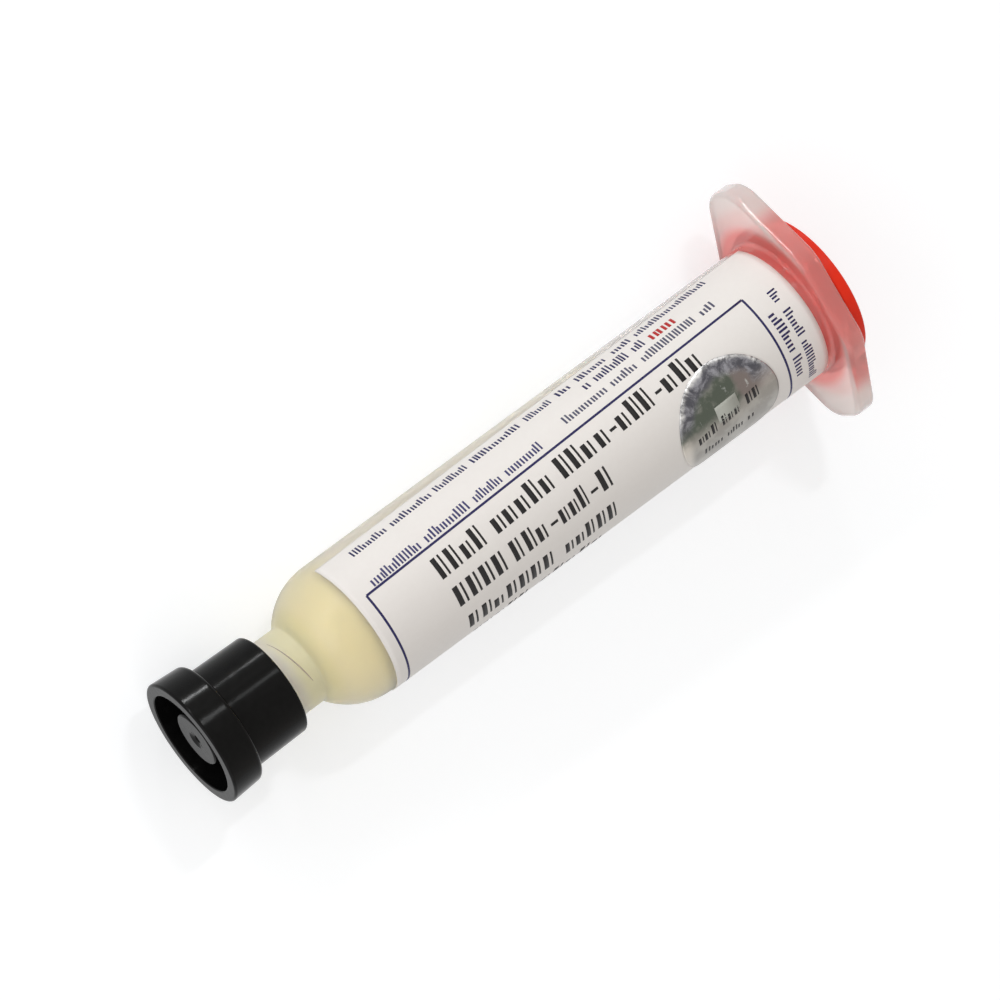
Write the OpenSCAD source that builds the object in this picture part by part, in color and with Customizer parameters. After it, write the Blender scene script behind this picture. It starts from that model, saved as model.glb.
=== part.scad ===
// Pre-filled dispensing barrel for soldering flux, capped at both ends.
// Lengths in millimetres. Each piece is drawn about the axis, with the tip
// cap's front face at height zero, and the whole is then laid on its side.

/* [Barrel] */
// Bore of the barrel
bore_d = 15.9; // [14:0.1:18]
// Wall where the shoulder ends
wall_front = 1.1; // [0.8:0.05:1.6]
// Wall at the flange
wall_rear = 1.35; // [0.8:0.05:2]
// Straight tube, from the shoulder to the flange
tube_len = 70.2; // [50:0.5:110]
// Bore of the outlet
outlet_d = 2.1; // [1:0.1:2.6]
// Diameter of the funnel where it opens into the dome
funnel_d = 7.2; // [4:0.1:9]
// Length of the funnel between the outlet and the dome
funnel_len = 4.0; // [2:0.1:4.4]
// Chamfer at the barrel's mouth
mouth_chamfer = 0.5; // [0.2:0.1:0.8]

/* [Luer collar] */
// Outer diameter of the collar
collar_d = 10.5; // [10:0.1:12]
// Length of the collar in front of the shoulder
collar_len = 11.4; // [9:0.1:14]
// Bore of the collar
collar_bore_d = 8.2; // [8:0.1:8.8]
// Depth of the pocket inside the collar
collar_depth = 7.2; // [6.4:0.1:7.6]
// Diameter of the nozzle at its end
nozzle_d = 3.94; // [3.6:0.02:4.2]
// Taper of the nozzle, on the diameter
nozzle_taper = 0.06; // [0.03:0.01:0.08]
// How far the nozzle stands out of the collar
nozzle_reach = 2.8; // [2:0.1:3.4]

/* [Flange] */
// Thickness of the flange
flange_t = 2.8; // [2:0.1:4]
// How far the flat sides stand out from the tube
flange_lip = 1.5; // [1:0.1:3.5]
// How far each finger ear stands out from the tube
ear_reach = 7.25; // [5:0.05:10]
// Width of the flat at each ear's end
ear_flat = 2.0; // [1:0.1:6]
// Corner radius at the ear's end
ear_corner_r = 4.25; // [2:0.05:5]
// Length of each flat side
side_flat = 9.2; // [6:0.1:12]
// Corner radius beside the flat side
side_corner_r = 4.5; // [2:0.1:6]
// Fillet between the tube and the flange
flange_fillet_r = 0.5; // [0.2:0.1:0.8]

/* [Tip cap] */
// Diameter of the gripping rim at the front
rim_d = 16.9; // [16:0.1:18]
// Diameter of the gripping rim at the back
rim_back_d = 16.3; // [15.6:0.1:18]
// Length of the gripping rim
rim_len = 4.5; // [3.6:0.1:6]
// Rounding of the rim's front edge
rim_front_r = 0.35; // [0.1:0.05:0.6]
// Rounding of the rim's back edge
rim_back_r = 0.6; // [0.3:0.05:1]
// Diameter of the recess in the front
recess_d = 13.7; // [12.6:0.1:14.4]
// Depth of the recess
recess_depth = 3.4; // [2:0.1:4]
// Draft of the recess wall over its depth
recess_draft = 0.35; // [0:0.05:0.6]
// Web behind the recess
web_t = 1.4; // [1:0.1:2]
// Diameter of the boss in the recess
boss_d = 7.3; // [6:0.1:9]
// How far the boss stays below the rim
boss_drop = 0.8; // [0.2:0.1:1.2]
// Diameter of the dimple in the boss
dimple_d = 2.4; // [1.4:0.1:3]
// Depth of the dimple
dimple_depth = 0.25; // [0.1:0.05:0.4]
// Diameter of the gate mark in the dimple
gate_d = 0.9; // [0.4:0.1:1.2]
// Depth of the gate mark below the dimple
gate_depth = 0.35; // [0.1:0.05:0.4]
// Outer diameter of the skirt at the rim
skirt_d = 13.8; // [13:0.1:15]
// Outer diameter of the skirt at its end
skirt_end_d = 13.5; // [12.8:0.1:15]
// Length of the skirt behind the rim
skirt_len = 7.9; // [6:0.1:9.5]
// Outer diameter of the socket that takes the nozzle
socket_d = 6.9; // [6.4:0.1:7.2]
// Length of the socket behind the web
socket_len = 6.2; // [4:0.1:7.4]
// Height of the locking lugs on the socket
lug_h = 0.4; // [0.2:0.1:0.45]
// Width of each lug
lug_w = 2.4; // [1.6:0.1:4]
// Length of each lug
lug_len = 1.2; // [0.6:0.1:2]

/* [End cap] */
// How far the disc's edge stays inside the flange's flat sides
disc_inset = 0.25; // [0.1:0.05:1]
// Thickness of the disc
disc_t = 1.7; // [1.2:0.1:3]
// Rounding of the disc's edge
disc_edge_r = 0.3; // [0.1:0.05:0.5]
// Depth of the shallow dish in the disc
dish_depth = 0.4; // [0.2:0.1:0.8]
// Diameter of the shallow dish
dish_d = 13.0; // [8:0.1:16]
// Length of the plug in the bore
plug_len = 6.0; // [4:0.1:10]
// Wall of the hollow plug
plug_wall = 1.4; // [1:0.1:2]
// Height of the sealing bead round the plug
bead_h = 0.25; // [0.15:0.05:0.4]
// Length of the sealing bead
bead_len = 1.4; // [0.8:0.1:2]

/* [Wiper piston] */
// Length of the piston's straight part
piston_len = 11.0; // [8:0.5:16]
// Height of the piston's domed nose
piston_nose = 5.2; // [3:0.1:7]
// Length of each wiping lip
lip_len = 1.6; // [1:0.1:3]
// How far the piston's waist stands back from its lips
waist_drop = 0.6; // [0.3:0.1:1]
// Wall of the hollow piston
piston_wall = 1.8; // [1.2:0.1:2.5]

/* [Flux] */
// Length of the flux in the straight tube
flux_len = 45.0; // [20:0.5:56]

/* [Label] */
// Length of the label along the barrel
label_len = 69.2; // [40:0.1:75]
// Thickness of the label
label_t = 0.12; // [0.08:0.01:0.3]
// Angle that the label wraps round
label_wrap = 290; // [180:1:340]
// Angle of the label's first edge
label_turn = 101; // [60:1:140]
// Gap from the flange to the label
label_gap = 1.0; // [0.2:0.1:3]
// Diameter of the round foil sticker
sticker_d = 15.5; // [8:0.1:20]
// Thickness of the sticker
sticker_t = 0.1; // [0.06:0.01:0.2]
// Distance from the flange to the sticker's centre
sticker_back = 16.9; // [10:0.1:40]
// Angle of the sticker's centre round the barrel
sticker_turn = 212; // [180:1:280]

/* [Clearances] */
// Radial clearance of the nozzle in its socket
nozzle_clear = 0.05; // [0.02:0.01:0.1]
// Clearance of the collar inside the cap
cap_clear = 0.3; // [0.2:0.05:0.5]
// Radial clearance of the plug's bead in the bore
plug_clear = 0.05; // [0.02:0.01:0.1]
// Radial clearance of the piston's lips in the bore
piston_clear = 0.05; // [0.02:0.01:0.1]
// Gap between the flux and the walls round it
flux_clear = 0.05; // [0.02:0.01:0.1]
// Glue line under the label and under the foil sticker
glue_t = 0.02; // [0.01:0.01:0.05]

/* [Hidden] */
$fn = 72;
arc_steps = 8;
dome_steps = 24;
over = 1;

// Sizes that follow from those above.
barrel_d_front = bore_d + 2 * wall_front;
barrel_d_rear = bore_d + 2 * wall_rear;
flange_width = barrel_d_rear + 2 * flange_lip;
flange_span = barrel_d_rear + 2 * ear_reach;
disc_d = flange_width - 2 * disc_inset;

// Stations along the axis, from the tip cap's front face.
web_back = recess_depth + web_t;
collar_front = web_back + cap_clear;
nozzle_front = collar_front - nozzle_reach;
collar_floor = collar_front + collar_depth;
shoulder_start = collar_front + collar_len;
shoulder_r = barrel_d_front / 2;
shoulder_end = shoulder_start + sqrt(pow(shoulder_r, 2) - pow(collar_d / 2, 2));
flange_front = shoulder_end + tube_len;
rear = flange_front + flange_t;
overall = rear + disc_t;
flux_end = shoulder_end + flux_len;
funnel_end = shoulder_end - sqrt(pow(bore_d / 2, 2) - pow(funnel_d / 2, 2));
funnel_start = funnel_end - funnel_len;

// How the capped barrel comes to rest: on the flange's flat side and the rim.
tilt = atan((flange_width / 2 - rim_d / 2) / (flange_front - rim_front_r));
lift = flange_width / 2 * cos(tilt) - flange_front * sin(tilt);
front_x = -(rim_d / 2 - rim_front_r) * sin(tilt);
back_x = overall * cos(tilt) + (disc_d / 2 - disc_edge_r) * sin(tilt);
middle_x = (front_x + back_x) / 2;

function barrel_r(z) = shoulder_r + (barrel_d_rear / 2 - shoulder_r) * (z - shoulder_end) / tube_len;
function arc(c, r, from, to, steps) = [for (i = [0:steps])
    c + r * [cos(from + (to - from) * i / steps), sin(from + (to - from) * i / steps)]];
function nozzle_r(z) = nozzle_d / 2 + (z - nozzle_front) * nozzle_taper / 2;

module lay() {
    translate([-middle_x, 0, lift]) rotate([0, 90 - tilt, 0]) children();
}

// Half of the flat outline, between a side flat and an ear's end.
side_c = [side_flat / 2, flange_width / 2 - side_corner_r];
ear_c = [flange_span / 2 - ear_corner_r, ear_flat / 2];
slope = atan2(ear_c[1] - side_c[1], ear_c[0] - side_c[0])
    + acos((side_corner_r - ear_corner_r) / norm(ear_c - side_c));
slope_n = [cos(slope), sin(slope)];

module flange_quarter() {
    polygon([[0, 0], [ear_c[0] + ear_corner_r, 0], [ear_c[0] + ear_corner_r, ear_c[1]],
        ear_c + ear_corner_r * slope_n, side_c + side_corner_r * slope_n,
        [side_c[0], flange_width / 2], [0, flange_width / 2]]);
    translate(side_c) circle(r = side_corner_r);
    translate(ear_c) circle(r = ear_corner_r);
}

module flange_outline() {
    for (end = [0, 1], side = [0, 1])
        mirror([end, 0]) mirror([0, side]) flange_quarter();
}

// Outer skin of the barrel without its flange.
module barrel_skin() {
    rotate_extrude() polygon(concat(
        [[0, collar_front], [collar_d / 2, collar_front]],
        arc([0, shoulder_end], shoulder_r, -acos(collar_d / 2 / shoulder_r), 0, dome_steps),
        [[barrel_d_rear / 2, flange_front - flange_fillet_r]],
        arc([barrel_d_rear / 2 + flange_fillet_r, flange_front - flange_fillet_r], flange_fillet_r, 180, 90, arc_steps),
        [[barrel_d_rear / 2 + flange_fillet_r, rear], [0, rear]]));
}

// Chamber for the flux, with its domed front, the funnel and the outlet.
module chamber() {
    rotate_extrude() polygon(concat(
        [[0, nozzle_front - over], [outlet_d / 2, nozzle_front - over], [outlet_d / 2, funnel_start]],
        arc([0, shoulder_end], bore_d / 2, -acos(funnel_d / bore_d), 0, dome_steps),
        [[bore_d / 2, rear - mouth_chamfer], [bore_d / 2 + mouth_chamfer, rear],
         [bore_d / 2 + mouth_chamfer, rear + over], [0, rear + over]]));
}

// Ring-shaped pocket between the collar and the nozzle.
module collar_pocket() {
    rotate_extrude() polygon([
        [nozzle_r(collar_front - over), collar_front - over], [collar_bore_d / 2, collar_front - over],
        [collar_bore_d / 2, collar_floor], [nozzle_r(collar_floor), collar_floor]]);
}

module nozzle() {
    rotate_extrude() polygon([[0, nozzle_front], [nozzle_r(nozzle_front), nozzle_front],
        [nozzle_r(collar_floor), collar_floor], [nozzle_r(collar_floor), collar_floor + outlet_d / 2],
        [0, collar_floor + outlet_d / 2]]);
}

module barrel() {
    color("gainsboro") lay() difference() {
        union() {
            difference() {
                barrel_skin();
                collar_pocket();
            }
            nozzle();
            translate([0, 0, flange_front]) linear_extrude(flange_t) rotate(90) flange_outline();
        }
        chamber();
    }
}

module flux() {
    flux_r = bore_d / 2 - flux_clear;
    stem_r = outlet_d / 2 - flux_clear;
    cone_r = funnel_d / 2 - flux_clear;
    color("khaki") lay() rotate_extrude() difference() {
        polygon(concat([[0, nozzle_front], [stem_r, nozzle_front], [stem_r, funnel_start]],
            arc([0, shoulder_end], flux_r, -acos(cone_r / flux_r), 0, dome_steps),
            [[flux_r, flux_end + piston_nose], [0, flux_end + piston_nose]]));
        polygon(nose_profile(flux_clear));
    }
}

// Domed nose of the piston, as a circular cap that is gap larger all round.
function nose_arc_r() = (pow(bore_d / 2 - piston_clear - waist_drop, 2) + pow(piston_nose, 2)) / (2 * piston_nose);
function nose_profile(gap) = let (r = nose_arc_r() + gap, c = flux_end + nose_arc_r(),
    reach = asin(min(1, (bore_d / 2 - piston_clear - waist_drop) / nose_arc_r())))
    concat(arc([0, c], r, -90, -90 + reach, dome_steps),
        [[bore_d / 2, flux_end + piston_nose - gap], [bore_d / 2, flux_end + piston_nose + over],
         [0, flux_end + piston_nose + over]]);

module wiper_piston() {
    lip_r = bore_d / 2 - piston_clear;
    waist_r = lip_r - waist_drop;
    start = flux_end + piston_nose;
    color("white") lay() rotate_extrude() difference() {
        polygon(concat(
            arc([0, flux_end + nose_arc_r()], nose_arc_r(), -90, -90 + asin(waist_r / nose_arc_r()), dome_steps),
            [[lip_r, start], [lip_r, start + lip_len], [waist_r, start + lip_len + waist_drop],
             [waist_r, start + piston_len - lip_len - waist_drop], [lip_r, start + piston_len - lip_len],
             [lip_r, start + piston_len], [0, start + piston_len]]));
        polygon([[0, start + piston_wall], [waist_r - piston_wall, start + piston_wall],
            [waist_r - piston_wall, start + piston_len + over], [0, start + piston_len + over]]);
    }
}

module cap_profile() {
    floor_z = nozzle_front - cap_clear;
    bore_front = nozzle_d / 2 + nozzle_clear;
    difference() {
        union() {
            polygon(concat(
                [[0, recess_depth], [rim_d / 2 - rim_front_r - over, recess_depth], [rim_d / 2 - rim_front_r - over, 0]],
                arc([rim_d / 2 - rim_front_r, rim_front_r], rim_front_r, -90, 0, arc_steps),
                arc([rim_back_d / 2 - rim_back_r, rim_len - rim_back_r], rim_back_r, 0, 90, arc_steps),
                [[skirt_d / 2, rim_len], [skirt_end_d / 2, rim_len + skirt_len - rim_front_r],
                 [skirt_end_d / 2 - rim_front_r, rim_len + skirt_len], [0, rim_len + skirt_len]]));
            polygon([[rim_d / 2 - rim_front_r, 0], [recess_d / 2, 0],
                [recess_d / 2 - recess_draft, recess_depth], [rim_d / 2 - rim_front_r, recess_depth]]);
            polygon([[0, boss_drop], [boss_d / 2 - rim_front_r, boss_drop], [boss_d / 2, boss_drop + rim_front_r],
                [boss_d / 2, recess_depth], [0, recess_depth]]);
        }
        // Room for the collar, round the socket.
        polygon([[socket_d / 2, web_back], [collar_d / 2 + cap_clear, web_back],
            [collar_d / 2 + cap_clear, rim_len + skirt_len + over], [socket_d / 2, rim_len + skirt_len + over]]);
        polygon([[0, web_back + socket_len], [socket_d / 2 + over, web_back + socket_len],
            [socket_d / 2 + over, rim_len + skirt_len + over], [0, rim_len + skirt_len + over]]);
        // Tapered seat for the nozzle.
        polygon([[0, floor_z], [bore_front, floor_z], [bore_front, nozzle_front],
            [nozzle_r(web_back + socket_len) + nozzle_clear, web_back + socket_len],
            [nozzle_r(web_back + socket_len) + nozzle_clear, web_back + socket_len + over], [0, web_back + socket_len + over]]);
        polygon([[0, 0], [dimple_d / 2, 0], [dimple_d / 2, boss_drop], [gate_d / 2, boss_drop + dimple_depth],
            [gate_d / 2, boss_drop + dimple_depth + gate_depth], [0, boss_drop + dimple_depth + gate_depth]]);
    }
}

module tip_cap() {
    lug_r = socket_d / 2 + lug_h;
    color("dimgray") lay() {
        rotate_extrude() cap_profile();
        // Two lugs that turn into the collar's thread.
        intersection() {
            translate([-lug_r, -lug_w / 2, web_back + socket_len - lug_len]) cube([2 * lug_r, lug_w, lug_len]);
            difference() {
                cylinder(r = lug_r, h = web_back + socket_len);
                translate([0, 0, -over]) cylinder(r = (socket_d + nozzle_d) / 4 + nozzle_clear, h = web_back + socket_len + 2 * over);
            }
        }
    }
}

module end_cap() {
    bead_r = bore_d / 2 - plug_clear;
    plug_r = bead_r - bead_h;
    color("orangered") lay() rotate_extrude() difference() {
        polygon(concat(
            [[0, rear - plug_len], [plug_r - bead_h, rear - plug_len], [plug_r, rear - plug_len + bead_h],
             [plug_r, rear - plug_len + bead_h + bead_len], [bead_r, rear - plug_len + 2 * bead_h + bead_len],
             [bead_r, rear - plug_len + 2 * bead_h + 2 * bead_len], [plug_r, rear - plug_len + 3 * bead_h + 2 * bead_len],
             [plug_r, rear]],
            arc([disc_d / 2 - disc_edge_r, rear + disc_edge_r], disc_edge_r, -90, 0, arc_steps),
            arc([disc_d / 2 - disc_edge_r, overall - disc_edge_r], disc_edge_r, 0, 90, arc_steps),
            [[dish_d / 2, overall], [dish_d / 2 - dish_depth, overall - dish_depth], [0, overall - dish_depth]]));
        polygon([[0, rear - plug_len - over], [plug_r - plug_wall, rear - plug_len - over],
            [plug_r - plug_wall, rear], [0, rear]]);
    }
}

// Thin sleeve that follows the barrel's taper, lift_in to lift_out off its skin.
module wrap(z0, z1, lift_in, lift_out, turn, sweep) {
    rotate(turn) rotate_extrude(angle = sweep) polygon([
        [barrel_r(z0) + lift_in, z0], [barrel_r(z0) + lift_out, z0],
        [barrel_r(z1) + lift_out, z1], [barrel_r(z1) + lift_in, z1]]);
}

module label() {
    label_end = flange_front - label_gap;
    color("white") lay() wrap(label_end - label_len, label_end, glue_t, glue_t + label_t, label_turn, label_wrap);
}

module foil_sticker() {
    z = flange_front - sticker_back;
    under = label_t + 2 * glue_t;
    r = barrel_r(z) + under;
    sweep = sticker_d / r * 180 / PI;
    half = r * sin(sweep / 2);
    color("lightsteelblue") lay() intersection() {
        wrap(z - sticker_d / 2 - over, z + sticker_d / 2 + over, under, under + sticker_t,
            sticker_turn - sweep / 2 - over, sweep + 2 * over);
        translate([0, 0, z]) rotate(sticker_turn) rotate([0, 90, 0]) linear_extrude(2 * r)
            polygon([for (i = [0:$fn - 1]) [sticker_d / 2 * cos(i * 360 / $fn), half * sin(i * 360 / $fn)]]);
    }
}

barrel();
flux();
wiper_piston();
tip_cap();
end_cap();
label();
foil_sticker();
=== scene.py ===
import bmesh
import bpy
import numpy as np
from mathutils import Matrix, Vector


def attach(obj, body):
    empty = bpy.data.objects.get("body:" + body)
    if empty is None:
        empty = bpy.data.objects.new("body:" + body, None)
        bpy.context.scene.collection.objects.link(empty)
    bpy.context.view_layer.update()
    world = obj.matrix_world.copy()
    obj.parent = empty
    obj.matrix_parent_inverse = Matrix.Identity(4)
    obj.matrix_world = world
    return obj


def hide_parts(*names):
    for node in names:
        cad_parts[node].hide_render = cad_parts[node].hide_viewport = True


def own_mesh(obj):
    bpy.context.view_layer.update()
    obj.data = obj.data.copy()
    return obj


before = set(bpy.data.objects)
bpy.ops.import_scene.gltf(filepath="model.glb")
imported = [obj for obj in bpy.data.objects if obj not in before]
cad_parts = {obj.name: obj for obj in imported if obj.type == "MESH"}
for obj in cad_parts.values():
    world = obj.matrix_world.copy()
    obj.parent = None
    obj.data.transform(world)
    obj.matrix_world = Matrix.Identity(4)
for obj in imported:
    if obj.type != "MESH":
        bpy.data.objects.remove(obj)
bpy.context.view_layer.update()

# The barrel: one injection moulding in natural polypropylene, milky and see-through.
# From the front it is a luer nozzle inside a collar, a round shoulder, a slightly
# tapered tube and a flange with two finger ears, all with softened edges.
TILT = np.radians(1.43635)            # the capped barrel lies on its cap's rim and its flange
MIDDLE, LIFT = 49.29724, 8.438572     # mm, along the axis and up to it at the cap's face
COLLAR_FRONT, COLLAR_FLOOR, COLLAR_R, POCKET_R = 5.1, 12.3, 5.25, 4.1
NOZZLE_FRONT, OUTLET_R, FUNNEL_R, FUNNEL_LEN = 2.3, 1.05, 3.6, 4.0
SHOULDER_START, SHOULDER_END = 16.5, 23.8716
FLANGE_FRONT, REAR = 94.0716, 96.8716
FRONT_R, REAR_R, BORE_R, EAR_TIP = 9.05, 9.3, 7.95, 16.55


def laid(along, sideways, up):
    """Metres in the part's frame for points given in mm along the axis, sideways and
    upwards from it: a turn by the tilt about the level cross axis, then a lift."""
    along, sideways, up = np.broadcast_arrays(along, sideways, up)
    return np.stack([along * np.cos(TILT) - up * np.sin(TILT) - MIDDLE, sideways,
                     along * np.sin(TILT) + up * np.cos(TILT) + LIFT], -1) / 1000


def eased(corners, steps=6, guard=0.04):
    """Outline through corners (x, y, radius). Each corner becomes an arc tangent to both
    of its sides, sampled evenly in angle, with a guard point just outside each end."""
    c = np.asarray(corners, float)
    out = [c[:1, :2]]
    for i in range(1, len(c) - 1):
        p, r = c[i, :2], c[i, 2]
        if r <= 0:
            out.append(p[None])
            continue
        u, v = c[i - 1, :2] - p, c[i + 1, :2] - p
        u, v = u / np.hypot(*u), v / np.hypot(*v)
        half = 0.5 * np.arccos(np.clip(u @ v, -1, 1))
        reach = r / np.tan(half)
        inward, side = (u + v) / np.hypot(*(u + v)), (v - u) / np.hypot(*(v - u))
        k = np.linspace(-1, 1, steps + 1)[:, None] * (np.pi / 2 - half)
        out += [(p + u * (reach + guard))[None],
                p + inward * r / np.sin(half) - r * (np.cos(k) * inward - np.sin(k) * side),
                (p + v * (reach + guard))[None]]
    return np.concatenate(out + [c[-1:, :2]])


def arc(centre, r, start, end, steps):
    """Points centre + r (cos t, sin t) with t even in angle, in degrees."""
    t = np.radians(np.linspace(start, end, steps + 1))
    return np.asarray(centre, float) + r * np.stack([np.cos(t), np.sin(t)], -1)


def skin(name, grids, closed=(False, True), uv=None):
    """One mesh over grids of points (n, rows, columns, 3), each joined round where closed.
    Poles and seams are welded, and the skin is turned so that its volume is positive."""
    grids = np.asarray(grids, float)
    grids = grids if grids.ndim == 4 else grids[None]
    count, rows, cols = grids.shape[:3]
    i = np.arange(rows if closed[0] else rows - 1)[:, None]
    j = np.arange(cols if closed[1] else cols - 1)[None]
    i2, j2 = (i + 1) % rows, (j + 1) % cols
    square = np.broadcast_arrays(i * cols + j, i * cols + j2, i2 * cols + j2, i2 * cols + j)
    quad = np.stack(square, -1).reshape(1, -1, 4)
    quads = (quad + np.arange(count)[:, None, None] * rows * cols).reshape(-1, 4)
    verts = grids.reshape(-1, 3)
    a, b, c, d = (verts[quads[:, k]] for k in range(4))
    if (np.einsum("ij,ij->i", a, np.cross(b, c)) + np.einsum("ij,ij->i", a, np.cross(c, d))).sum() < 0:
        quads = quads[:, ::-1]
    mesh = bpy.data.meshes.new(name)
    mesh.from_pydata(verts, [], quads)
    if uv is not None:
        layer = mesh.uv_layers.new(name="UVMap")
        corner = np.empty(len(mesh.loops), np.int32)
        mesh.loops.foreach_get("vertex_index", corner)
        layer.data.foreach_set("uv", uv.reshape(-1, 2)[corner].astype(np.float32).ravel())
    bm = bmesh.new()
    bm.from_mesh(mesh)
    bmesh.ops.remove_doubles(bm, verts=bm.verts, dist=1e-7)
    bm.to_mesh(mesh)
    bm.free()
    mesh.polygons.foreach_set("use_smooth", np.ones(len(mesh.polygons), bool))
    piece = bpy.data.objects.new(name, mesh)
    bpy.context.scene.collection.objects.link(piece)
    return piece


def turned(profile, turns=192, reach=None):
    """Grid for a profile (along, radius) carried round the axis. Where reach is given,
    a function of the angle, the points marked in profile[:, 2] add it to the radius."""
    angle = np.linspace(0, 2 * np.pi, turns, endpoint=False)
    r = np.repeat(profile[:, 1:2], turns, 1)
    if reach is not None:
        r = r + profile[:, 2:3] * reach(angle)[None]
    return laid(np.repeat(profile[:, :1], turns, 1), r * np.sin(angle), r * np.cos(angle))


SIDE_CENTRE, SIDE_R = np.array([4.6, 6.3]), 4.5      # the arc beside a flat side, seen end on
EAR_CENTRE, EAR_R = np.array([12.3, 1.0]), 4.25      # the arc at an ear's end


def flange_reach(angle):
    """Radius of the flange's outline at an angle from straight up: four arcs beside the
    flat sides and four at the ears' ends, with the straight runs between them."""
    step = EAR_CENTRE - SIDE_CENTRE
    slope = np.degrees(np.arctan2(step[1], step[0]) + np.arccos((SIDE_R - EAR_R) / np.hypot(*step)))
    quarter = np.concatenate([arc(EAR_CENTRE, EAR_R, 0, slope, 16), arc(SIDE_CENTRE, SIDE_R, slope, 90, 14)])
    full = np.concatenate([quarter, quarter[::-1] * [-1, 1], -quarter, quarter[::-1] * [1, -1]])
    share = np.linspace(0, 1, 24, endpoint=False)[None, :, None]
    full = (full[:, None] * (1 - share) + np.roll(full, -1, 0)[:, None] * share).reshape(-1, 2)
    bearing = np.arctan2(full[:, 0], full[:, 1])
    order = np.argsort(bearing)
    within = (angle + np.pi) % (2 * np.pi) - np.pi
    return np.interp(within, bearing[order], np.hypot(*full[order].T), period=2 * np.pi)


NOZZLE_TIP_R, NOZZLE_ROOT_R = 1.97, 2.27             # the luer taper of six in a hundred
NECK_LEN, NECK_RISE, CHAMFER = 0.45, 0.5, 0.5        # the neck's flare, and the mouth's edge

# The wall's outline runs from the nozzle's end into the pocket round it, over the collar
# and the neck, along the tube and round the flange, and back inside through the funnel.
funnel_end = SHOULDER_END - np.sqrt(BORE_R ** 2 - FUNNEL_R ** 2)
outside = eased([
    (NOZZLE_FRONT, OUTLET_R, 0), (NOZZLE_FRONT, NOZZLE_TIP_R, 0.25), (COLLAR_FLOOR, NOZZLE_ROOT_R, 0.3),
    (COLLAR_FLOOR, POCKET_R, 0.3), (COLLAR_FRONT, POCKET_R, 0.15), (COLLAR_FRONT, COLLAR_R, 0.25),
    (SHOULDER_START, COLLAR_R, 0.35), (SHOULDER_START + NECK_LEN, COLLAR_R + NECK_RISE, 0)])
dome_start = 180 - np.degrees(np.arcsin((COLLAR_R + NECK_RISE) / FRONT_R))
dome = arc([SHOULDER_END, 0], FRONT_R, dome_start, 90, 30)
back_half = eased([
    (SHOULDER_END, FRONT_R, 0), (FLANGE_FRONT, REAR_R, 0.5), (FLANGE_FRONT, EAR_TIP, 0.8),
    (REAR, EAR_TIP, 0.35), (REAR, BORE_R + CHAMFER, 0.08), (REAR - CHAMFER, BORE_R, 0.08),
    (SHOULDER_END, BORE_R, 0)])
inner_dome = arc([SHOULDER_END, 0], BORE_R, 90, 180 - np.degrees(np.arcsin(FUNNEL_R / BORE_R)), 24)
funnel = eased([(*inner_dome[-1], 0), (funnel_end - FUNNEL_LEN, OUTLET_R, 1.5), (NOZZLE_FRONT, OUTLET_R, 0)])
profile = np.concatenate([outside[:-1], dome[:-1], back_half[:-1], inner_dome, funnel[1:-1]])
on_rim = profile[:, 1] > REAR_R + 1                  # these points follow the flange's outline
marked = np.column_stack([profile[:, 0], profile[:, 1] - EAR_TIP * on_rim, on_rim])
barrel = skin("barrel_moulding", turned(marked, reach=flange_reach), closed=(True, True))


def finish_of(name, color, rough, **sockets):
    """Principled material with its plain numbers set on the shader's own sockets."""
    mat = bpy.data.materials.new(name)
    mat.use_nodes = True
    shader = mat.node_tree.nodes["Principled BSDF"]
    shader.inputs["Base Color"].default_value = (*color, 1)
    shader.inputs["Roughness"].default_value = rough
    for socket, value in sockets.items():
        shader.inputs[socket.replace("_", " ")].default_value = value
    return mat


def node(mat, kind, sockets=(), **settings):
    """Adds a node: settings are its own properties, and sockets gives pairs of an input
    (by name or number) and the value or the output that goes into it."""
    made = mat.node_tree.nodes.new(kind)
    for key, value in settings.items():
        setattr(made, key, value)
    for key, value in sockets:
        if isinstance(value, bpy.types.NodeSocket):
            mat.node_tree.links.new(value, made.inputs[key])
        else:
            made.inputs[key].default_value = value
    return made


def drive(mat, socket, source):
    """Links a node's output to one of the shader's sockets."""
    mat.node_tree.links.new(source, mat.node_tree.nodes["Principled BSDF"].inputs[socket])


def blend(mat, factor, first, second):
    """Mixes two colours, each a triple or a node's output: the first where the factor is
    0 and the second where it is 1."""
    sides = [value if isinstance(value, bpy.types.NodeSocket) else (*value, 1) for value in (first, second)]
    mixer = node(mat, "ShaderNodeMix", data_type="RGBA")
    for key, value in (("Factor_Float", factor), ("A_Color", sides[0]), ("B_Color", sides[1])):
        spot = next(s for s in mixer.inputs if s.identifier == key)
        if isinstance(value, bpy.types.NodeSocket):
            mat.node_tree.links.new(value, spot)
        else:
            spot.default_value = value
    return next(s for s in mixer.outputs if s.identifier == "Result_Color")


def relief(mat, scale, height, detail=3.0):
    """Fine moulded or pressed relief: fractal noise on Object coordinates as a bump,
    laid over the relief that the material already has."""
    place = node(mat, "ShaderNodeTexCoord")
    noise = node(mat, "ShaderNodeTexNoise",
                 [("Vector", place.outputs["Object"]), ("Scale", scale), ("Detail", detail)])
    shader = mat.node_tree.nodes["Principled BSDF"]
    under = [("Normal", link.from_socket) for link in shader.inputs["Normal"].links]
    bump = node(mat, "ShaderNodeBump",
                [("Height", noise.outputs["Fac"]), ("Distance", height), ("Strength", 1.0)] + under)
    drive(mat, "Normal", bump.outputs["Normal"])
    return noise.outputs["Fac"]


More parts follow.
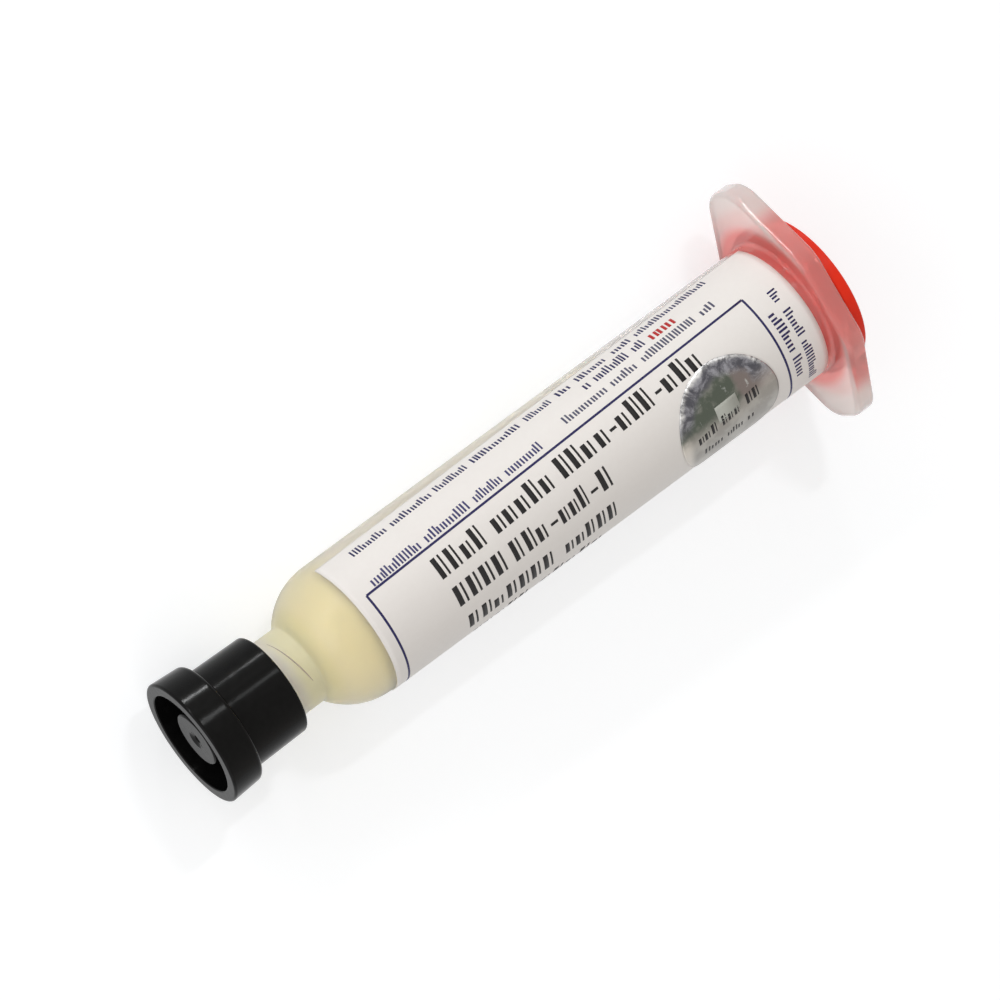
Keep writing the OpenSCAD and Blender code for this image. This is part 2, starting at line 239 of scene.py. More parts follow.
def stations(mat):
    """Outputs for the place along the barrel's axis and the distance out from it, in
    metres, worked out from Object coordinates with a dot and a cross product."""
    place = node(mat, "ShaderNodeTexCoord")
    start = node(mat, "ShaderNodeVectorMath",
                 [(0, place.outputs["Object"]), (1, (MIDDLE / 1000, 0, -LIFT / 1000))], operation="ADD")
    axis = (np.cos(TILT), 0, np.sin(TILT))
    along = node(mat, "ShaderNodeVectorMath", [(0, start.outputs[0]), (1, axis)], operation="DOT_PRODUCT")
    across = node(mat, "ShaderNodeVectorMath", [(0, start.outputs[0]), (1, axis)], operation="CROSS_PRODUCT")
    out = node(mat, "ShaderNodeVectorMath", [(0, across.outputs[0])], operation="LENGTH")
    return along.outputs["Value"], out.outputs["Value"]


def ramp(mat, value, low, high, start=0.0, end=1.0):
    """Smooth step of a value in mm between low and high, from start to end."""
    step = node(mat, "ShaderNodeMapRange",
                [("Value", value), ("From Min", low / 1000), ("From Max", high / 1000),
                 ("To Min", start), ("To Max", end)], interpolation_type="SMOOTHSTEP")
    return step.outputs["Result"]


def product(mat, first, second):
    """The first value times the second."""
    return node(mat, "ShaderNodeMath", [(0, first), (1, second)], operation="MULTIPLY").outputs[0]


# MILK is the plastic's own colour. The second and third colours are painted light: the flux's yellow and the
# red disc's glow, as they show through the wall.
MILK, PAINTED_FLUX_LIGHT_COLOR, PAINTED_DISC_GLOW_COLOR = (1.0, 0.94, 0.915), (1.0, 0.93, 0.63), (1.0, 0.27, 0.24)

milky = finish_of("natural_polypropylene", (0.98, 0.94, 0.90), 0.2, Transmission_Weight=0.6, IOR=1.4,
                  Coat_Roughness=0.06, Subsurface_Weight=0.3, Subsurface_Radius=(1.0, 0.9, 0.85),
                  Subsurface_Scale=0.002)
relief(milky, 260, 0.00001)
along, out = stations(milky)
# Painted see-through light: the flux's yellow, as it shows through the wall, is painted into
# the wall's colour, faintly under the cap, fully on the neck, less round the shoulder and the
# tube, and hardly at all behind the piston.
painted_flux_light = product(milky, ramp(milky, along, 12.6, 15.0, 0.25, 1.0), ramp(milky, along, 16.8, 18.8, 1.0, 0.65))
painted_flux_light = product(milky, painted_flux_light, ramp(milky, along, 23.0, 27.0, 1.0, 0.5))
painted_flux_light = product(milky, painted_flux_light, ramp(milky, along, 67.5, 70.5, 1.0, 0.1))
# Painted glow: the red disc's light, as it shows through the flange, is painted into the
# flange's colour as far out as the disc reaches, and 2.4 mm further out on the flange's edge,
# which lies nearer to it.
nearer = ramp(milky, along, 94.0, 94.6, 0.0, 0.0024)
spread = node(milky, "ShaderNodeMath", [(0, out), (1, nearer)], operation="SUBTRACT").outputs[0]
painted_disc_glow = product(milky, ramp(milky, along, 90.5, 92.5), ramp(milky, spread, 10.5, 12.3, 0.94, 0.05))
drive(milky, "Base Color", blend(milky, painted_disc_glow, blend(milky, painted_flux_light, MILK, PAINTED_FLUX_LIGHT_COLOR), PAINTED_DISC_GLOW_COLOR))
# The wall is milkiest where it is thick, at the collar and out on the ears, and the flange
# is glossier than the tube.
clear = product(milky, ramp(milky, along, 15.8, 18.2, 0.48, 1.0), ramp(milky, along, 24.0, 30.0, 0.70, 0.62))
thick = product(milky, ramp(milky, along, 93.6, 94.0, 1.0, 0.95), ramp(milky, out, 11.5, 14.0, 1.0, 0.75))
drive(milky, "Transmission Weight", product(milky, clear, thick))
drive(milky, "Coat Weight", ramp(milky, along, 94.1, 94.3, 0.2, 0.9))
gloss = product(milky, ramp(milky, along, 20.0, 88.0, 0.42, 0.2), ramp(milky, along, 92.5, 94.0, 1.0, 0.5))
drive(milky, "Roughness", gloss)
barrel.data.materials.append(milky)
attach(barrel, "barrel")
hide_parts("barrel")

# The thread inside the collar: two fine ridges, half a turn apart, moulded with the
# barrel. The tip cap's lugs and a needle's hub turn into them.
LEAD, RIDGE_START, RIDGE_END, RIDGE_H, RIDGE_W = 5.0, 6.0, 11.7, 0.42, 0.35
ROOT = 0.03                           # mm that a ridge is let into the collar's bore
LUG_STATION = 9.15                    # where a ridge has to clear the cap's lug


def ridge(first_angle):
    """Grid for one ridge: a rounded triangle carried along a helix on the collar's bore,
    its height and width growing from nothing at both ends."""
    turn = np.linspace(0, (RIDGE_END - RIDGE_START) / LEAD * 2 * np.pi, 110)[:, None]
    grow = np.clip(np.minimum(turn, turn[-1] - turn) / 0.5, 0, 1)
    k = np.linspace(0, 2 * np.pi, 10, endpoint=False)[None]
    inward = 0.5 - 0.5 * np.cos(k)
    r = POCKET_R + ROOT - (RIDGE_H + ROOT) * inward * grow
    station = RIDGE_START + turn * LEAD / (2 * np.pi) + RIDGE_W * np.sin(k) * (1 - 0.5 * inward) * grow
    return laid(station, r * np.sin(first_angle + turn), r * np.cos(first_angle + turn))


lug_angle = 2 * np.pi * (LUG_STATION - RIDGE_START) / LEAD
thread = skin("collar_thread", [ridge(-lug_angle), ridge(np.pi - lug_angle)])
thread.data.materials.append(milky)
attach(thread, "barrel")

# The flow line on the neck: a hair-fine raised line where the two streams of plastic
# met behind the collar. It runs slantwise round the neck as one piece with it.
FLOW_START, FLOW_RUN, FLOW_R = 13.75, 1.6, 0.07      # mm: station, length along, half thickness
FLOW_FROM, FLOW_TO = 67.6, -15.4                     # degrees round the neck
FLATTER = 1.6                                        # how much wider than thick it is

# A flattened tube whose thickness follows half an ellipse along its run, thinner at first.
run = np.linspace(0, 1, 60)[:, None]
k = np.linspace(0, 2 * np.pi, 8, endpoint=False)[None]
fine = FLOW_R * np.sqrt(np.clip(1 - (2 * run - 1) ** 2, 0, 1)) * np.minimum(1, 0.45 + 0.55 * run)
bearing = np.radians(FLOW_FROM + (FLOW_TO - FLOW_FROM) * run)
r = COLLAR_R + fine * np.cos(k)
station = FLOW_START + FLOW_RUN * run + FLATTER * fine * np.sin(k)
flow = skin("neck_flow_line", laid(station, r * np.sin(bearing), r * np.cos(bearing)))
# The line's dark brown colour is painted shade, laid on as the colour of the raised line.
painted_line_shade = finish_of("flow_line_polypropylene", (0.46, 0.38, 0.31), 0.4)
relief(painted_line_shade, 900, 0.00001)
flow.data.materials.append(painted_line_shade)
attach(flow, "barrel")

# The flux: a pale yellow gel that fills the nozzle, the shoulder and most of the tube.
# In the tube it is laid in three sleeves.
FLUX_R, FLUX_END, NOSE, NOSE_R = 7.9, 68.8716, 5.2, 7.724
INNER_R, MIDDLE_R, INNER_START, MIDDLE_START = 6.0, 7.3, 18.85, 21.65
SLEEVES = [("flux_core", 0.0, INNER_R, INNER_START), ("flux_middle", INNER_R, MIDDLE_R, MIDDLE_START),
           ("flux_outer", MIDDLE_R, FLUX_R, SHOULDER_END)]
PLAY, EDGE, SKIRT_R = 0.05, 0.03, 7.35    # mm: gap to the walls, blunted edge, the nose's widest ring

# The front part runs from the nozzle's end up the funnel and round the shoulder's ball,
# and back to the axis in steps that meet the sleeves.
stem_r, cone_r = OUTLET_R - PLAY, FUNNEL_R - PLAY
cone_end = SHOULDER_END - np.sqrt(FLUX_R ** 2 - cone_r ** 2)
stem = eased([(NOZZLE_FRONT, 0, 0), (NOZZLE_FRONT, stem_r, 0.1), (funnel_end - FUNNEL_LEN, stem_r, 1.5),
              (cone_end, cone_r, 0)])
ball = arc([SHOULDER_END, 0], FLUX_R, 180 - np.degrees(np.arcsin(cone_r / FLUX_R)), 90.2, 30)
steps_back = [(SHOULDER_END, MIDDLE_R), (MIDDLE_START, MIDDLE_R), (MIDDLE_START, INNER_R),
              (INNER_START, INNER_R), (INNER_START, 0)]
front = np.concatenate([[[NOZZLE_FRONT, 0]], stem[1:-1], ball, [[SHOULDER_END, FLUX_R - EDGE]], steps_back])
gel = finish_of("flux_gel", (0.93, 0.88, 0.55), 0.45, Specular_IOR_Level=0.3)
cloud = relief(gel, 90, 0.0001)
drive(gel, "Base Color", blend(gel, cloud, (0.94, 0.885, 0.56), (0.965, 0.92, 0.635)))


def sleeve(inner, outer, start):
    """Grid for one sleeve between two radii: flat in front, and behind it the hollow of
    the piston's nose, a ball's surface of NOSE_R about a centre on the axis."""
    widest = outer > SKIRT_R
    r = np.linspace(inner, min(outer, SKIRT_R), 9)
    hollow = FLUX_END + NOSE_R - np.sqrt((NOSE_R + PLAY) ** 2 - np.minimum(r, MIDDLE_R) ** 2)
    corners = [(start, inner), (start, outer - EDGE), (start + 0.01, outer), (start + 0.08, outer)]
    if widest:
        corners += [(FLUX_END + NOSE - 0.2, outer), (hollow[-1], outer)]
    else:
        corners += [(hollow[-1] - PLAY, outer)]
    shape = np.concatenate([corners, np.column_stack([hollow, r])[::-1]])
    return turned(shape if inner == 0 else np.concatenate([shape, shape[:1]]))


fills = [("flux_front", turned(front), None)]
fills += [(name, sleeve(inner, outer, start), start) for name, inner, outer, start in SLEEVES]
for name, grid, start in fills:
    fill = skin(name, grid)
    fill.data.materials.append(gel)
    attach(fill, "barrel")
    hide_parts("flux")
    if start:
        tuple(laid(start, 0, 0))
        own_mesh(fill)

# The wiper piston: a hollow polyethylene cup with a domed nose and a wiping lip at
# each end, which seals the flux at the back.
START, PISTON_LEN, LIP_R, WAIST_R = FLUX_END + NOSE, 11.0, 7.9, 7.3
LIP_LEN, LIP_SLOPE, CUP_WALL = 1.6, 2.2, 1.8
# From the nose's ball over the front lip, the waist and the rear lip, and into the cup.
back = START + PISTON_LEN
cup = np.concatenate([
    arc([FLUX_END + NOSE_R, 0], NOSE_R, 180, 180 - np.degrees(np.arcsin(WAIST_R / NOSE_R)), 20),
    eased([(START, WAIST_R, 0), (START, LIP_R, 0.15), (START + LIP_LEN, LIP_R, 0.15),
           (START + LIP_SLOPE, WAIST_R, 0.2), (back - LIP_SLOPE, WAIST_R, 0.2),
           (back - LIP_LEN, LIP_R, 0.15), (back, LIP_R, 0.15), (back, WAIST_R - CUP_WALL, 0.2),
           (START + CUP_WALL, WAIST_R - CUP_WALL, 0.3), (START + CUP_WALL, 0, 0)])[1:]])
piston = skin("piston_cup", turned(cup))
white = finish_of("white_polyethylene", (0.86, 0.86, 0.83), 0.4)
relief(white, 300, 0.00002)
piston.data.materials.append(white)
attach(piston, "wiper_piston")
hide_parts("wiper_piston")

# The tip cap: one black polyethylene moulding. Its gripping rim has a deep ring-shaped
# recess round a boss with a gate mark in its dimple; the narrower skirt covers the
# collar, and a socket with two lugs seals the nozzle.
RIM_LEN, RIM_R, RIM_BACK_R, RECESS, BOSS_FRONT, BOSS_R = 4.5, 8.45, 8.15, 3.4, 0.8, 3.65
WEB_BACK, SKIRT_END, SKIRT_IN, SOCKET_END, SOCKET_R = 4.8, 12.4, 5.55, 11.0, 3.45
# From the dimple over the boss, the recess, the rim and the skirt, and back inside to the
# socket and the tapered hole for the nozzle.
cap_line = eased([
    (1.4, 0, 0), (1.4, 0.4, 0.12), (1.05, 0.5, 0.1), (BOSS_FRONT, 1.2, 0.15), (BOSS_FRONT, BOSS_R, 0.3),
    (RECESS, BOSS_R, 0.3), (RECESS, 6.5, 0.4), (0, 6.85, 0.15), (0, RIM_R, 0.3), (RIM_LEN, RIM_BACK_R, 0.6),
    (RIM_LEN, 6.9, 0.2), (SKIRT_END, 6.75, 0.35), (SKIRT_END, SKIRT_IN, 0.3), (WEB_BACK, SKIRT_IN, 0.3),
    (WEB_BACK, SOCKET_R, 0.2), (SOCKET_END, SOCKET_R, 0.2), (SOCKET_END, 2.3, 0.2), (2.3, 2.02, 0.1),
    (2.0, 2.02, 0.1), (2.0, 0, 0)])
cap = skin("tip_cap_moulding", turned(cap_line, 224))
black = finish_of("black_polyethylene", (0.003, 0.003, 0.003), 0.15, Specular_IOR_Level=0.08)
grain = relief(black, 1100, 0.000012, 8)
drive(black, "Base Color", blend(black, grain, (0.0015, 0.0015, 0.0015), (0.0065, 0.0065, 0.0065)))
cap.data.materials.append(black)
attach(cap, "tip_cap")
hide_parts("tip_cap")


LUG_START, LUG_HALF_W, LUG_MID, LUG_HALF_H, LUG_EDGE = 9.8, 1.2, 3.62, 0.22, 0.06


def lug(side):
    """Grid for one lug: a small rounded block on the socket, its cross-section a
    rounded square (sin and cos to the power 0.35) that closes at both ends."""
    k = np.linspace(0, 2 * np.pi, 24, endpoint=False)[None]
    across = np.sign(np.sin(k)) * np.abs(np.sin(k)) ** 0.35 * LUG_HALF_W
    deep = np.sign(np.cos(k)) * np.abs(np.cos(k)) ** 0.35 * LUG_HALF_H
    low, high = LUG_START + LUG_EDGE, SOCKET_END - LUG_EDGE
    ends = np.array([[LUG_START, 0.0], [LUG_START, 1 - LUG_EDGE], [low, 1.0], [high, 1.0],
                     [SOCKET_END, 1 - LUG_EDGE], [SOCKET_END, 0.0]])
    grow = ends[:, 1:2]
    return laid(ends[:, :1] + 0 * k, across * grow, side * (LUG_MID + deep * grow))


lugs = skin("tip_cap_lugs", [lug(1), lug(-1)[:, ::-1]])
lugs.data.materials.append(black)
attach(lugs, "tip_cap")

# The end cap: one red polyethylene moulding, a disc behind the flange with a hollow
# plug and its sealing bead in the barrel's mouth.
PLUG_R, DISC_R, DISC_FRONT, DISC_BACK = 7.65, 10.55, REAR + 0.03, 98.5716
PLUG_FRONT, PLUG_IN, BEAD_R, PLUG_LEAD = REAR - 6.0, 6.25, 7.9, 0.25
BEAD_START, BEAD_END, DISH_R, DISH_DEEP = REAR - 4.35, REAR - 2.45, 6.5, 0.4
# From the plug's hollow forward to its tip, back over the bead, and round the disc's edge
# to its dished rear face.
plug_line = eased([
    (REAR, 0, 0), (REAR, PLUG_IN, 0.3), (PLUG_FRONT, PLUG_IN, 0.1), (PLUG_FRONT, PLUG_R - PLUG_LEAD, 0.1),
    (PLUG_FRONT + PLUG_LEAD, PLUG_R, 0.05), (BEAD_START, PLUG_R, 0.1), (BEAD_START + PLUG_LEAD, BEAD_R, 0.1),
    (BEAD_END - PLUG_LEAD, BEAD_R, 0.1), (BEAD_END, PLUG_R, 0.1), (DISC_FRONT, PLUG_R, 0.05),
    (DISC_FRONT, DISC_R, 0.25), (DISC_BACK, DISC_R, 0.35), (DISC_BACK, DISH_R, 0.2),
    (DISC_BACK - DISH_DEEP, DISH_R - DISH_DEEP, 0.2), (DISC_BACK - DISH_DEEP, 0, 0)])
end_cap = skin("end_cap_moulding", turned(plug_line, 224))
red = finish_of("red_polyethylene", (0.86, 0.03, 0.008), 0.36, Specular_IOR_Level=0.18)
matt = relief(red, 1400, 0.000008, 4)
drive(red, "Base Color", blend(red, matt, (0.82, 0.024, 0.006), (0.90, 0.036, 0.010)))
end_cap.data.materials.append(red)
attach(end_cap, "end_cap")
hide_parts("end_cap")

# The label: matt coated paper wrapped round the tube a little askew, with a bare strip
# left along the far side. It is 0.12 mm thick and follows the tube's taper.
LEAN = np.radians(14.6)                # the line towards the reader, from straight up
SKEW = np.radians(1.87)                # how far askew the label went on
LABEL_MID, GLUE, PAPER = 58.5, 0.02, 0.12
LABEL_FRONT, LABEL_BACK = 23.7, 92.75  # mm: the sheet's ends, along the barrel
LABEL_LOW, LABEL_TOP = -35.0, 10.3     # mm: its edges, round the tube from the reader's line
SHEET = 100                           # mm of paper that the label's and the foil's UV maps span


def wrapped(x, y, out):
    """Points on the tube for a place on the flat label: turned by the skew, then rolled
    on, so that y becomes an arc length from the reader's line, and raised by out."""
    along = LABEL_MID + (x - LABEL_MID) * np.cos(SKEW) - y * np.sin(SKEW)
    arc_length = (x - LABEL_MID) * np.sin(SKEW) + y * np.cos(SKEW)
    r = FRONT_R + (REAR_R - FRONT_R) * (along - SHOULDER_END) / (FLANGE_FRONT - SHOULDER_END)
    angle = LEAN + arc_length / r
    return laid(along, (r + out) * np.sin(angle), (r + out) * np.cos(angle))


def slabs(x, y, low, high):
    """Closed thin slabs on the label: grids (n, rows, columns) of x and y, at height low
    and again at high, joined round their edges by going over the top and back below."""
    top, bottom = wrapped(x, y, high), wrapped(x, y, low)
    loop = np.concatenate([top, bottom[:, :, ::-1]], 2)
    ends = np.concatenate([bottom, bottom[:, :, ::-1]], 2)
    return np.concatenate([ends[:, :1], loop, ends[:, -1:]], 1)


xs, ys = np.meshgrid(np.linspace(LABEL_FRONT, LABEL_BACK, 90), np.linspace(LABEL_LOW, LABEL_TOP, 160),
                     indexing="ij")
flat = np.stack([xs, ys], -1) / SHEET + 0.5
flat = np.concatenate([flat, flat[:, ::-1]], 1)
label = skin("label_paper", slabs(xs[None], ys[None], GLUE, GLUE + PAPER),
             uv=np.concatenate([flat[:1], flat, flat[-1:]]))
paper = finish_of("label_stock", (0.89, 0.85, 0.82), 0.5, Specular_IOR_Level=0.4)
relief(paper, 130, 0.0001, 2)
fibre = relief(paper, 1500, 0.000006, 6)
drive(paper, "Base Color", blend(paper, fibre, (0.87, 0.83, 0.80), (0.90, 0.865, 0.835)))
label.data.materials.append(paper)
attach(label, "barrel")
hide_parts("label")

# The print: a ruled navy frame and rows of plain upright bars. It is ink laid on the
# paper, two hundredths of a millimetre thick, and each row is one piece.
INK, SUNK = 0.015, 0.005              # mm that ink stands above the paper, and reaches into it


def inked(name, bars, color, lean=0.0, base=GLUE + PAPER):
    """One piece of ink made of many bars (x0, x1, y0, y1), each a small closed slab.
    lean is the row's angle on the label in radians, and base the height it lies at."""
    b = np.asarray(bars, float)
    wide, tall = (b[:, 1] - b[:, 0]).max(), (b[:, 3] - b[:, 2]).max()
    s, t = np.meshgrid(np.linspace(0, 1, int(wide / 4) + 2), np.linspace(0, 1, int(tall / 0.5) + 2),
                       indexing="ij")
    x = b[:, 0, None, None] + (b[:, 1] - b[:, 0])[:, None, None] * s
    y = b[:, 2, None, None] + (b[:, 3] - b[:, 2])[:, None, None] * t + np.tan(lean) * (x - LABEL_MID)
    piece = skin(name, slabs(x, y, base - SUNK, base + INK))
    ink = finish_of(name + "_ink", color, 0.5, Specular_IOR_Level=0.3)
    relief(ink, 2500, 0.000003, 4)
    piece.data.materials.append(ink)
    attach(piece, "barrel")
    return piece


def row_of_bars(groups, base, height, pitch, seed, broad=0.36, thin=0.14, dashes=()):
    """Bars (x0, x1, y0, y1) for a row. Each group, given by its start and end, is split
    into equal steps about a pitch long: a broad upright and a thin one beside it, both
    at full height or both at two thirds of it. A dash is a flat bar at a third of it."""
    rng = np.random.default_rng(seed)
    bars = []
    for start, end in groups:
        count = max(1, round((end - start) / pitch))
        step = (end - start) / count
        left = start + step * (np.arange(count) + rng.uniform(0, 0.1, count))
        tall = base + height * np.where(rng.random(count) < 0.45, 1.0, 0.68)
        bars += [np.column_stack([left + step * at, left + step * (at + share), 0 * left + base, tall])
                 for at, share in ((0.0, broad), (0.56, thin))]
    bars += [np.array([[start, end, base + 0.3 * height, base + 0.43 * height]]) for start, end in dashes]
    return np.concatenate(bars)


RULE = 0.15                            # mm: half the width of the frame's lines
LEFT_X, RIGHT_X, TOP_Y, LOW_Y = 25.5, 86.65, 2.83, -23.0
NAVY, JET = (0.017, 0.014, 0.09), (0.007, 0.006, 0.007)
DUSK, SLATE, RED = (0.05, 0.048, 0.16), (0.09, 0.09, 0.15), (0.52, 0.022, 0.022)
FINE = dict(broad=0.27, thin=0.24)    # shares of a step that small uprights take

inked("label_frame", [
    (LEFT_X, RIGHT_X, TOP_Y - RULE, TOP_Y + RULE), (LEFT_X, RIGHT_X, LOW_Y - RULE, LOW_Y + RULE),
    (LEFT_X - RULE, LEFT_X + RULE, LOW_Y, TOP_Y), (RIGHT_X - RULE, RIGHT_X + RULE, LOW_Y, TOP_Y)], NAVY)
inked("label_heading", row_of_bars(
    [(34.2, 41.8), (43.0, 52.9), (53.9, 62.0), (63.6, 69.6), (71.2, 77.6)], -0.85, 2.75, 1.95, 3,
    dashes=[(62.3, 63.3), (69.9, 70.9)]), JET, lean=0.0174)
inked("label_line_two", row_of_bars(
    [(34.3, 42.6), (43.4, 49.0), (50.8, 55.6), (57.4, 59.5)], -5.25, 2.75, 1.9, 5,
    dashes=[(49.4, 50.5), (55.9, 57.0)]), JET, lean=0.0124)
inked("label_line_three", row_of_bars([(34.9, 48.6), (50.0, 58.6)], -10.0, 2.6, 1.85, 8), JET, lean=0.0074)
inked("label_line_four", row_of_bars([(35.8, 44.6), (46.4, 56.4)], -14.6, 2.6, 1.9, 9), JET)
inked("label_small_top", row_of_bars(
    [(28.0, 33.4), (34.2, 40.6), (41.3, 46.4), (47.2, 55.0), (56.0, 60.2), (61.2, 63.4), (64.4, 69.2),
     (70.4, 73.4), (74.2, 86.0)], 8.2, 1.15, 0.92, 11, **FINE), NAVY, lean=0.0105)
inked("label_small_left", row_of_bars(
    [(27.0, 34.8), (35.6, 42.6), (43.5, 48.0), (48.8, 54.6)], 3.7, 1.3, 0.95, 12, **FINE), DUSK, lean=0.02)
inked("label_small_middle", row_of_bars(
    [(64.0, 65.0), (65.8, 71.3), (72.1, 74.0)], 6.3, 1.4, 1.0, 13, **FINE), NAVY)
inked("label_small_red", row_of_bars([(74.8, 78.9)], 6.1, 1.55, 1.3, 14, 0.3, 0.28), RED)
inked("label_small_right", row_of_bars(
    [(58.8, 65.8), (66.7, 70.8), (71.8, 80.6), (81.6, 83.9)], 4.2, 1.15, 0.98, 15, **FINE), SLATE, lean=0.007)


def round_the_tube(bars, x):
    """The same bars turned a quarter, as a row that runs round the tube, its foot at x."""
    return np.column_stack([x + bars[:, 2], x + bars[:, 3], -bars[:, 1], -bars[:, 0]])


inked("label_column_one", round_the_tube(row_of_bars(
    [(0.7, 6.3), (7.1, 10.3)], 0, 1.35, 1.05, 21, **FINE), 87.65), NAVY)
inked("label_column_two", round_the_tube(row_of_bars(
    [(-1.6, 0.2), (1.4, 5.2), (6.0, 12.6)], 0, 1.2, 1.0, 22, **FINE), 89.6), NAVY)

# The foil sticker: a round silver foil, pressed on over the label's lower right part,
# with an embossed upper half, a pale square and two rows of plain bars.
SPOT_X, SPOT_Y, SPOT_R, FOIL = 76.95, -8.25, 7.75, 0.1
SPOT_LOW = PAPER + 2 * GLUE            # mm above the tube: the label with glue on both sides
SPOT_TOP = SPOT_LOW + FOIL
ring = np.linspace(0, 1, 26)[:, None]
turn = np.linspace(0, 2 * np.pi, 120, endpoint=False)[None]
disc_x, disc_y = SPOT_X + SPOT_R * ring * np.cos(turn), SPOT_Y + SPOT_R * ring * np.sin(turn)
foil = np.concatenate([wrapped(disc_x, disc_y, SPOT_TOP), wrapped(disc_x[::-1], disc_y[::-1], SPOT_LOW)])
round_uv = np.stack([disc_x, disc_y], -1) / SHEET + 0.5
spot = skin("foil_disc", foil, uv=np.concatenate([round_uv, round_uv[::-1]]))
silver = finish_of("silver_foil", (0.42, 0.43, 0.42), 0.33, Metallic=0.75)
place = node(silver, "ShaderNodeTexCoord")
apart = node(silver, "ShaderNodeSeparateXYZ", [(0, place.outputs["UV"])])
cloudy = node(silver, "ShaderNodeTexNoise",
              [("Vector", place.outputs["UV"]), ("Scale", 30.0), ("Detail", 5.0), ("Roughness", 0.6)])
crinkle = node(silver, "ShaderNodeTexNoise",
               [("Vector", place.outputs["UV"]), ("Scale", 48.0), ("Detail", 6.0), ("Roughness", 0.7),
                ("Distortion", 0.5)])


def band(value, low, high, start=0.0, end=1.0):
    """Smooth step of a plain value between low and high, from start to end."""
    step = node(silver, "ShaderNodeMapRange",
                [("Value", value), ("From Min", low), ("From Max", high), ("To Min", start), ("To Max", end)],
                interpolation_type="SMOOTHSTEP")
    return step.outputs["Result"]


def wavy(value, amount):
    """A place on the foil, plus the amount times the cloudy noise, so that it wanders."""
    moved = node(silver, "ShaderNodeMath", [(0, cloudy.outputs["Fac"]), (1, amount), (2, value)],
                 operation="MULTIPLY_ADD")
    return moved.outputs[0]


centre = (SPOT_X / SHEET + 0.5, SPOT_Y / SHEET + 0.5, 0)
reach = node(silver, "ShaderNodeVectorMath", [(0, place.outputs["UV"]), (1, centre)], operation="DISTANCE")
reach, flat_x, flat_y = reach.outputs["Value"], apart.outputs["X"], apart.outputs["Y"]
# The upper half is dark and cloudy: green in the middle, brown and then paler to the right.
upper = band(wavy(flat_y, 0.04), 0.436, 0.456)
dark = blend(silver, band(cloudy.outputs["Fac"], 0.46, 0.62), (0.085, 0.10, 0.08), (0.20, 0.205, 0.18))
dark = blend(silver, band(wavy(flat_x, 0.02), 1.296, 1.308), dark, (0.19, 0.16, 0.15))
dark = blend(silver, band(wavy(flat_x, 0.01), 1.318, 1.340), dark, (0.34, 0.305, 0.285))
# A slate band runs inside its upper edge.
slate = blend(silver, band(crinkle.outputs["Fac"], 0.42, 0.60), (0.08, 0.08, 0.095), (0.27, 0.27, 0.30))
banded = product(silver, band(wavy(reach, 0.03), 0.066, 0.078), band(flat_y, 0.425, 0.455))
dark = blend(silver, banded, dark, slate)
# The lower half is pale, palest at its left edge.
pale = blend(silver, band(cloudy.outputs["Fac"], 0.4, 0.6), (0.29, 0.275, 0.255), (0.37, 0.355, 0.33))
pale = blend(silver, band(flat_x, 1.198, 1.212, 0.8, 0.0), pale, (0.62, 0.58, 0.53))
# Painted highlights: bright glints painted on the upper half, and a bright crinkled line
# painted along its edge.
glint = product(silver, product(silver, band(crinkle.outputs["Fac"], 0.60, 0.70), upper), 0.6)
shades = blend(silver, glint, blend(silver, upper, pale, dark), (0.6, 0.62, 0.61))
edge = product(silver, band(wavy(reach, 0.02), 0.080, 0.086), band(flat_y, 0.445, 0.465))
rim = blend(silver, band(crinkle.outputs["Fac"], 0.42, 0.56), (0.16, 0.16, 0.17), (0.70, 0.70, 0.70))
drive(silver, "Base Color", blend(silver, edge, shades, rim))
bump = node(silver, "ShaderNodeBump",
            [("Height", crinkle.outputs["Fac"]), ("Distance", 0.00012), ("Strength", upper)])
drive(silver, "Normal", bump.outputs["Normal"])
spot.data.materials.append(silver)
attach(spot, "barrel")
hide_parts("foil_sticker")
inked("foil_square", [(75.2, 78.6, -8.0, -5.6)], (0.5, 0.51, 0.46), base=SPOT_TOP)
inked("foil_line_one", row_of_bars([(71.6, 74.9), (75.6, 78.5), (79.6, 82.0)], -10.2, 1.5, 1.1, 31), JET,
      lean=0.09, base=SPOT_TOP)
inked("foil_line_two", row_of_bars([(72.4, 75.4), (76.0, 78.6), (79.3, 80.5)], -12.1, 1.0, 0.9, 32, **FINE),
      (0.05, 0.05, 0.05), lean=0.05, base=SPOT_TOP)

# The floor, the light and the camera. The camera's long lens and its place were fitted to
# the photograph, and it looks down on the barrel from the side of its tip.
floor_mesh = bpy.data.meshes.new("floor")
floor_mesh.from_pydata([(-4, -4, 0), (4, -4, 0), (4, 4, 0), (-4, 4, 0)], [], [(0, 1, 2, 3)])
floor = bpy.data.objects.new("floor", floor_mesh)
bpy.context.scene.collection.objects.link(floor)
ground = finish_of("floor_white", (0.64, 0.655, 0.675), 0.9, Specular_IOR_Level=0.0)


def seen_directly(tree):
    """Output that is 1 for camera, glossy and transmission rays and 0 for the others."""
    rays = tree.nodes.new("ShaderNodeLightPath")
    value = rays.outputs["Is Camera Ray"]
    for other in ("Is Glossy Ray", "Is Transmission Ray"):
        larger = tree.nodes.new("ShaderNodeMath")
        larger.operation = "MAXIMUM"
        tree.links.new(value, larger.inputs[0])
        tree.links.new(rays.outputs[other], larger.inputs[1])
        value = larger.outputs[0]
    return value


ground.node_tree.nodes["Principled BSDF"].inputs["Emission Color"].default_value = (1, 1, 1, 1)
drive(ground, "Emission Strength", product(ground, seen_directly(ground.node_tree), 0.55))
floor_mesh.materials.append(ground)

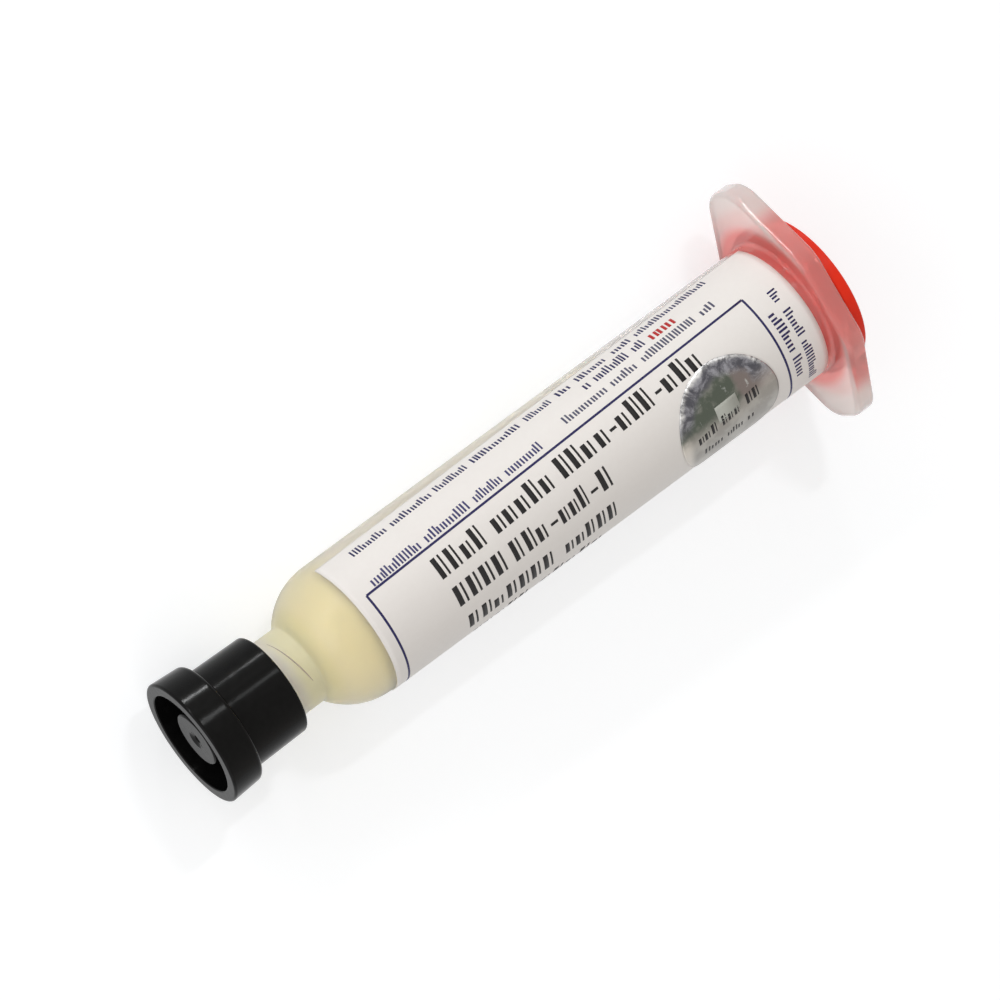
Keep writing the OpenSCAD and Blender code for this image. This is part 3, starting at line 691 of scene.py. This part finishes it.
world = bpy.data.worlds.new("studio")
bpy.context.scene.world = world
world.use_nodes = True
sky = world.node_tree.nodes["Background"]
level = world.node_tree.nodes.new("ShaderNodeMapRange")
level.inputs["To Min"].default_value = 0.42
level.inputs["To Max"].default_value = 1.0
world.node_tree.links.new(seen_directly(world.node_tree), level.inputs["Value"])
world.node_tree.links.new(level.outputs["Result"], sky.inputs["Strength"])
sky.inputs["Color"].default_value = (1, 0.968, 0.925, 1)


def lamp(name, direction, level, length, width, distance=1.0):
    """Area lamp in a direction from the barrel, facing it, its length as near along the
    barrel as it goes. It lights a surface turned to it by level times the surface's
    colour: power = level pi^2 distance^2."""
    data = bpy.data.lights.new(name, "AREA")
    data.shape, data.size, data.size_y = "RECTANGLE", length, width
    data.energy = level * (np.pi * distance) ** 2
    data.color = (0.975, 0.99, 1.0)
    facing = Vector(direction).normalized()
    lengthways = (Vector((np.cos(TILT), 0, np.sin(TILT))) - facing * facing.x).normalized()
    made = bpy.data.objects.new(name, data)
    made.location = facing * distance
    made.rotation_euler = Matrix((lengthways, facing.cross(lengthways), facing)).transposed().to_euler()
    bpy.context.scene.collection.objects.link(made)


lamp("key_soft", (0.313, 0.491, 0.813), 0.03, 0.9, 0.9)
lamp("key_strip", (0.313, 0.491, 0.813), 0.10, 0.12, 0.03)
lamp("front_soft", (-0.88, 0.25, 0.40), 0.32, 0.9, 0.9)
lamp("front_strip", (-0.30, 0.80, 0.48), 0.16, 0.8, 0.05)
lamp("side_soft", (0.1, 0.93, 0.35), 0.07, 0.8, 0.8)
lamp("side_strip", (0.329, 0.926, 0.185), 0.12, 0.12, 0.03)
lamp("low_fill", (-0.55, -0.72, 0.42), 0.15, 0.9, 0.9)

camera_data = bpy.data.cameras.new("camera")
camera_data.lens, camera_data.sensor_width = 168.43, 36
camera_data.clip_start, camera_data.clip_end = 0.01, 20
camera = bpy.data.objects.new("camera", camera_data)
camera.location = (-0.201882, 0.136018, 0.520867)
camera.rotation_euler = np.radians((0.14921, -25.35557, -34.05358))
bpy.context.scene.collection.objects.link(camera)
bpy.context.scene.camera = camera
bpy.context.scene.view_settings.view_transform = "Standard"
